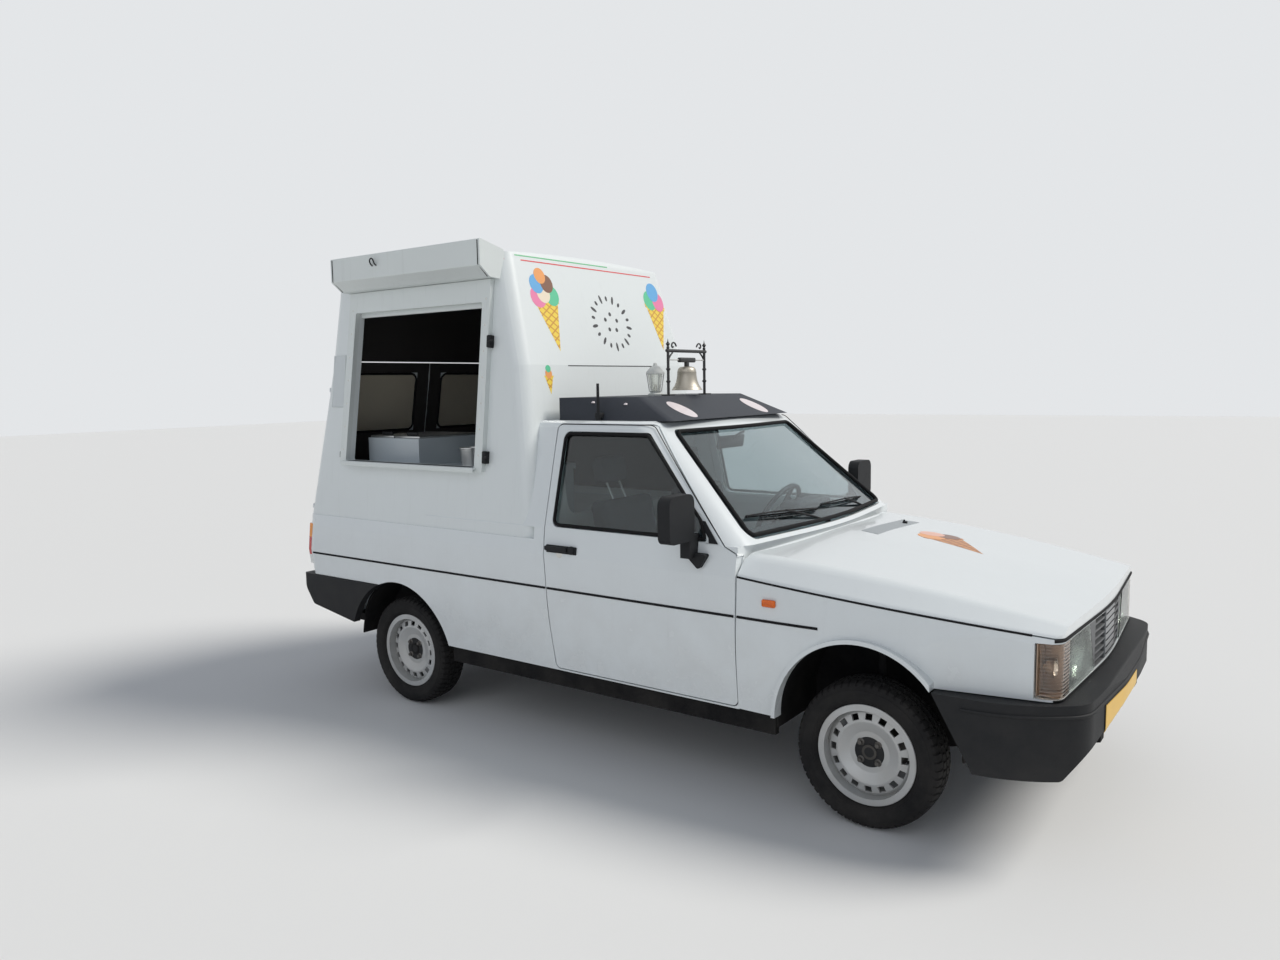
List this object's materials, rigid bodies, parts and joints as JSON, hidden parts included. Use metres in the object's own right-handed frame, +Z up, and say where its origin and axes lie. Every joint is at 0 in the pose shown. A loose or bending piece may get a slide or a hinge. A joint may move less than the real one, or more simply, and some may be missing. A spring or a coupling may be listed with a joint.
{
  "type": "ice cream van",
  "caption": "Small white delivery van with a raised vending box, serving hatch with shutter housing, roof deflector and bell, on four steel wheels.",
  "frame": {"origin": "on the ground, under the middle of the whole van's box", "axes": "+X towards the nose, +Y to the van's left, +Z up"},
  "size_m": [4.1794, 2, 2.3806],
  "materials": {
    "body_paint": "cool white gloss paint",
    "box_panel": "white painted panel",
    "black_plastic": "grained black moulding",
    "glass": "clear, faint green tint",
    "lamp_glass": "fluted clear lens",
    "tail_lens": "red lens",
    "shutter_metal": "satin",
    "counter_panel": "white enamel",
    "chassis_paint": "black underseal",
    "cast_metal": "rough",
    "exhaust_steel": "dull, heat stained",
    "cabin_plastic": "grained",
    "seat_cloth": "woven",
    "stand_paint": "black paint",
    "bell_metal": "dull, nickel coloured",
    "tyre_rubber": "matt",
    "wheel_paint": "light grey paint"
  },
  "bodies": {
    "body": {"floor_pan": "chassis_paint", "cab_frame": "body_paint", "front_wings": "body_paint", "nose_panel": "body_paint", "grille": "black_plastic", "headlamps": "lamp_glass", "indicators": "lamp_glass", "front_bumper": "black_plastic", "rear_bumper": "black_plastic", "windscreen": "glass", "lower_sides": "body_paint", "box_side_right": "box_panel", "box_side_left": "box_panel", "box_front": "box_panel", "box_roof": "box_panel", "rear_frame": "body_paint", "shutter_frame": "shutter_metal", "shutter_housing": "shutter_metal", "freezer_counter": "counter_panel", "wheelhouses": "chassis_paint", "front_subframe": "chassis_paint", "rear_axle": "chassis_paint", "engine": "cast_metal", "fuel_tank": "chassis_paint", "exhaust": "exhaust_steel", "dashboard": "cabin_plastic", "seats": "seat_cloth", "roof_deflector": "black_plastic", "bell_stand": "stand_paint", "tail_lamps": "tail_lens"},
    "bonnet": {"bonnet": "body_paint"},
    "cab_door_left": {"door_left": "body_paint", "door_glass_left": "glass", "mirror_left": "black_plastic"},
    "cab_door_right": {"door_right": "body_paint", "door_glass_right": "glass", "mirror_right": "black_plastic"},
    "back_door_left": {"rear_door_left": "body_paint"},
    "back_door_right": {"rear_door_right": "body_paint"},
    "knuckle_left": {"knuckle_left": "cast_metal"},
    "knuckle_right": {"knuckle_right": "cast_metal"},
    "wheel_front_left": {"tyre_front_left": "tyre_rubber", "rim_front_left": "wheel_paint"},
    "wheel_front_right": {"tyre_front_right": "tyre_rubber", "rim_front_right": "wheel_paint"},
    "wheel_rear_left": {"tyre_rear_left": "tyre_rubber", "rim_rear_left": "wheel_paint"},
    "wheel_rear_right": {"tyre_rear_right": "tyre_rubber", "rim_rear_right": "wheel_paint"},
    "steering_wheel": {"steering_wheel": "cabin_plastic"},
    "bell": {"bell": "bell_metal"}
  },
  "joints": [
    {"name": "steer_left", "type": "hinge", "parent": "body", "child": "knuckle_left", "pos_m": [1.305, 0.562, 0.286], "axis": [0, 0, 1], "range_deg": [-32, 32]},
    {"name": "steer_right", "type": "hinge", "parent": "body", "child": "knuckle_right", "pos_m": [1.305, -0.562, 0.286], "axis": [0, 0, 1], "range_deg": [-32, 32]},
    {"name": "steering_turn", "type": "hinge", "parent": "body", "child": "steering_wheel", "pos_m": [0.37, 0.345, 1], "axis": [-0.8829, 0, 0.4695], "range_deg": [-546, 546]},
    {"name": "roll_front_left", "type": "hinge", "parent": "knuckle_left", "child": "wheel_front_left", "pos_m": [1.305, 0.668, 0.286], "axis": [0, 1, 0], "continuous": true},
    {"name": "roll_front_right", "type": "hinge", "parent": "knuckle_right", "child": "wheel_front_right", "pos_m": [1.305, -0.668, 0.286], "axis": [0, 1, 0], "continuous": true},
    {"name": "roll_rear_left", "type": "hinge", "parent": "body", "child": "wheel_rear_left", "pos_m": [-1.275, 0.668, 0.286], "axis": [0, 1, 0], "continuous": true},
    {"name": "roll_rear_right", "type": "hinge", "parent": "body", "child": "wheel_rear_right", "pos_m": [-1.275, -0.668, 0.286], "axis": [0, 1, 0], "continuous": true},
    {"name": "open_cab_left", "type": "hinge", "parent": "body", "child": "cab_door_left", "pos_m": [0.7875, 0.813, 0.72], "axis": [0, 0, -1], "range_deg": [0, 65]},
    {"name": "open_cab_right", "type": "hinge", "parent": "body", "child": "cab_door_right", "pos_m": [0.7875, -0.813, 0.72], "axis": [0, 0, 1], "range_deg": [0, 65]},
    {"name": "open_back_left", "type": "hinge", "parent": "body", "child": "back_door_left", "pos_m": [-2.04675, 0.72028, 1.04], "axis": [-0.1824, 0.0928, -0.9788], "range_deg": [0, 90]},
    {"name": "open_back_right", "type": "hinge", "parent": "body", "child": "back_door_right", "pos_m": [-2.04675, -0.72028, 1.04], "axis": [0.1824, 0.0928, 0.9788], "range_deg": [0, 90]},
    {"name": "lift_bonnet", "type": "hinge", "parent": "body", "child": "bonnet", "pos_m": [0.788, 0, 1.04], "axis": [0, -1, 0], "range_deg": [0, 50]},
    {"name": "swing_bell", "type": "hinge", "parent": "body", "child": "bell", "pos_m": [0.043, 0, 1.806], "axis": [0, 1, 0], "range_deg": [-20, 20]}
  ],
  "couplings": [
    {"joint": "steer_right", "follows": "steer_left", "ratio": 1},
    {"joint": "steering_turn", "follows": "steer_left", "ratio": 17}
  ]
}
